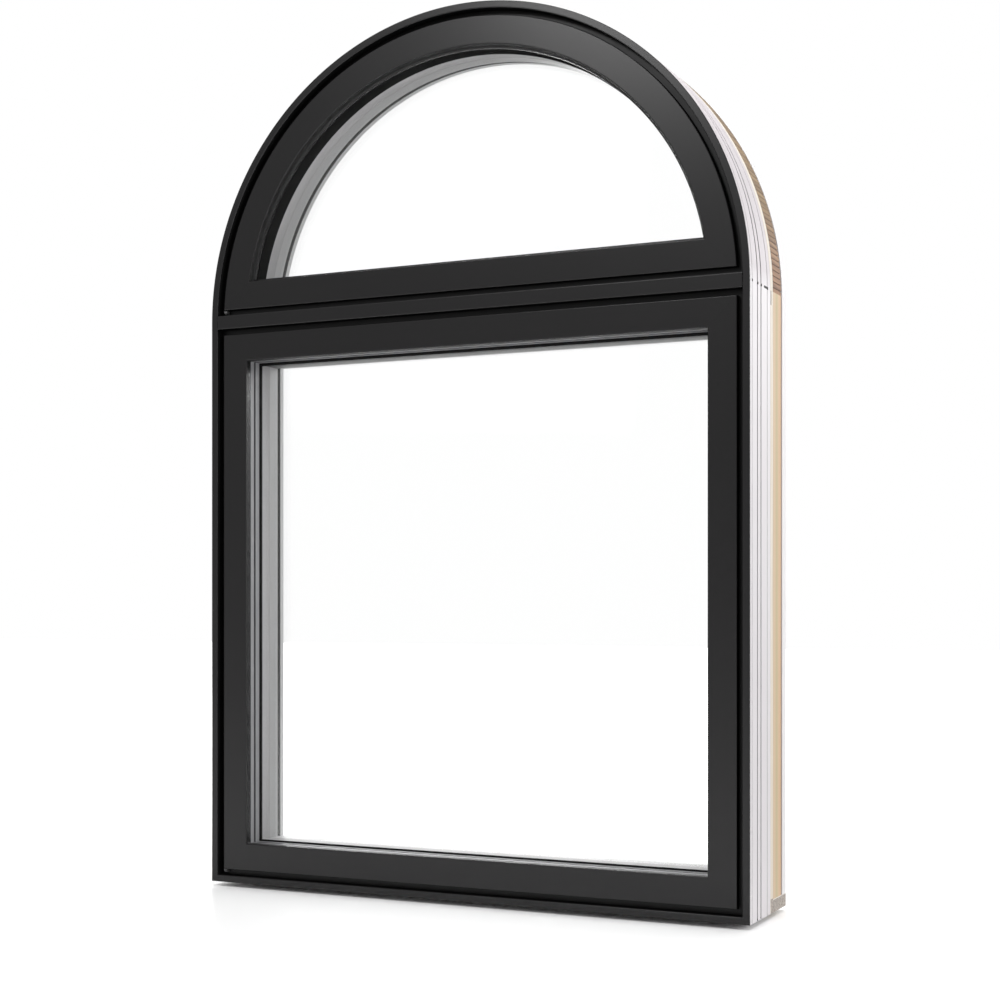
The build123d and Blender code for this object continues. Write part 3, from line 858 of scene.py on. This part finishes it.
# ----------------------------------------------------------------------------------------------------------
# Extension jambs of the lower unit. Planed pine boards carry the frame through the wall. The sill board
# runs full width and shows its end grain, the side boards stand on it, and the faces to the room are primed
# white.
board_thickness = 12.5
room_paint = colour(236, 236, 234)
board_pale = colour(212, 190, 160)
board_dark = colour(176, 154, 118)
for name, direction, nodes in (
    ("board_upright", "z", ("extension_jambs",)),
    ("board_level", "x", ("extension_sill", "extension_head", "arch_extension_sill")),
):
    material, tone, split = wood(name, direction, board_pale, board_dark, 4.2 * mm, 0.45, (0.33, 0.13))
    if direction == "z":
        painted = split[1].absolute() < half_width - (board_thickness - 0.2) * mm
        winding = {"W": split[0] * 3.0, "Scale": 1.0}
        sway = split[0].node("TexNoise", {"noise_dimensions": "1D"}, winding) - 0.5
        across_board = (split[2] - front + sway * 3.0 * mm - core_depth * mm) / (27.0 * mm)
        bands = (
            (0.0, 170, 146, 126), (0.06, 222, 198, 172), (0.28, 214, 190, 160), (0.42, 196, 184, 146),
            (0.60, 206, 186, 150), (0.78, 222, 188, 156), (0.93, 216, 170, 138), (1.0, 150, 118, 92),
        )
        stops = [(share, colour(*display)[:3]) for share, *display in bands]
        banded = across_board.node("ValToRGB", {"stops": stops}, {0: across_board}, 0)
        streaky = across_board.node("Mix", {"data_type": "RGBA"}, {0: 0.72, 6: tone, 7: banded}, 2)
        feed(material, Base_Color=painted.mix(streaky, room_paint))
    else:
        ends, end_tone = end_grain(split[0], half_width - 0.3 * mm)
        lit_arris = (split[1] > (board_thickness - 0.8) * mm) * (split[1] < (board_thickness + 0.1) * mm)
        bare = (split[1] < 0.1 * mm) + ((split[1] - spring_height).absolute() < 0.1 * mm)
        room_face = split[2] > 57.8 * mm
        painted = room_face.maths("MAXIMUM", room_face, 1.0 - bare)
        sawn = lit_arris.mix(end_tone, colour(232, 227, 221))
        feed(material, Base_Color=ends.mix(painted.mix(tone, room_paint), sawn))
    dress(material, *nodes)

# ----------------------------------------------------------------------------------------------------------
# Extension jamb of the arch. A brown laminated board, sawn across the back every few millimetres so that it
# bends round the half circle. The cuts stay open and leave a thin web on the room side.
kerf_pitch, kerf_width, kerf_depth = 5.6 * mm, 1.0 * mm, 8.6 * mm
arc_length = math.pi * half_width
kerfs = int(arc_length / kerf_pitch) - 1
kerf_centres = (np.arange(kerfs) + 0.75) * arc_length / (kerfs + 0.5)
stations = np.concatenate([
    kerf_centres - kerf_width / 2 - 0.04 * mm,
    kerf_centres - kerf_width / 2 + 0.04 * mm,
    kerf_centres + kerf_width / 2 - 0.04 * mm,
    kerf_centres + kerf_width / 2 + 0.04 * mm,
])
sunk = np.concatenate([np.zeros(kerfs), np.ones(kerfs), np.ones(kerfs), np.zeros(kerfs)])
order = np.argsort(stations)
stations = np.concatenate([[0.0], stations[order], [arc_length]]) / half_width
sunk = np.concatenate([[0.0], sunk[order], [0.0]])
strip_start, notch_depth, notch_inset = 103.5, 3.5, 3.0
ply_pale, ply_dark = colour(176, 148, 112), colour(132, 108, 80)
kerfed, tone, split = wood("kerfed_board", "run", ply_pale, ply_dark, 2.6 * mm, 0.5, (0.05, 0.05))
strip = split[0].maths("FLOOR", split[0] / (kerf_pitch * 0.5) + split[2] * 30.0)
block = strip.node("TexWhiteNoise", {"noise_dimensions": "1D"}, {"W": strip}, "Value")
rise = split[0] / half_width
from_foot = rise.maths("MINIMUM", rise, math.pi - rise)
foot_tone = block.mix(colour(122, 86, 64), colour(176, 136, 106))
middle_tone = block.mix(colour(112, 90, 64), colour(172, 148, 112))
# Painted shade: towards the crown the board is painted darker and greyer, for the shade of the kerfs seen at a
# graze.
crown_shade_tone = block.mix(colour(84, 78, 68), colour(118, 108, 96))
low = from_foot.node("MapRange", {}, {"Value": from_foot, "From Min": 0.05, "From Max": 0.30})
toward_crown = from_foot.node("MapRange", {}, {"Value": from_foot, "From Min": 0.5, "From Max": 0.95})
toned = toward_crown.mix(low.mix(foot_tone, middle_tone), crown_shade_tone)
multiply = {"data_type": "RGBA", "blend_type": "MULTIPLY"}
laminate_and_crown_shade = toned.node("Mix", multiply, {0: 0.75, 6: tone, 7: toned}, 2)
laminate_and_crown_shade = toned.node("Mix", {"data_type": "RGBA"}, {0: 0.6, 6: laminate_and_crown_shade, 7: toned}, 2)
# Painted shade: the faces inside the saw cuts and the back notch are painted dark brown.
kerf_shade = split[1] > 0.4 * mm
inner_face = split[1] > (board_thickness - 0.2) * mm
seam = (split[2] < 74.0 * mm) + (split[2] > 99.2 * mm)
kerf_tone = (kerf_shade + seam * 0.6).clamp().mix(laminate_and_crown_shade, colour(88, 66, 48))
feed(kerfed, Base_Color=inner_face.mix(kerf_tone, room_paint))
board_corners = np.array([
    (0.0, core_depth),
    (board_thickness, core_depth),
    (board_thickness, strip_start),
    (notch_inset, strip_start),
    (notch_inset, strip_start - notch_depth),
    (0.0, strip_start - notch_depth),
]) * mm
cut_by = np.array([kerf_depth, 0.0, 0.0, kerf_depth - 2.9 * mm, kerf_depth - 2.9 * mm, kerf_depth])
inset = board_corners[:, :1] + sunk[None, :] * cut_by[:, None]
radius = half_width - inset
angle = np.broadcast_to(stations[None, :], inset.shape)
depth = np.broadcast_to(board_corners[:, 1:], inset.shape)
grid = np.stack([radius * np.cos(angle), front + depth, spring_height + radius * np.sin(angle)], -1)
runs = np.stack([angle * half_width, inset, depth], -1)
outward = np.stack([np.cos(angle), 0 * angle, np.sin(angle)], -1)
outward[1:3] *= -1.0
board = skin("kerfed_arch_board", [(grid, outward, runs)], ["arch_extension"])
board.data.materials.append(kerfed)

# ----------------------------------------------------------------------------------------------------------
# Edge strips. A primed white strip closes the back edge of the side boards and of the arch board.
primed, wire = finish("white_primer", Roughness=0.6, Specular_IOR_Level=0.3)
brush = wire.noise(45.0, 5.0)
bump = wire.node("Bump", {}, {"Strength": 0.2, "Distance": 0.05 * mm, "Height": brush}, "Normal")
feed(primed, Base_Color=brush.mix(colour(246, 244, 245), colour(238, 236, 237)), Normal=bump)
dress(primed, "edge_strip_jambs")
strip_end = 116.0
strip_outline = rounded([
    (0.0, strip_start, 0.4),
    (board_thickness, strip_start, 0.3),
    (board_thickness, strip_end, 0.8),
    (0.0, strip_end, 0.8),
])
arch_strip = skin("edge_strip_arch", [turned(strip_outline)], ["arch_edge_strip"])
arch_strip.data.materials.append(primed)
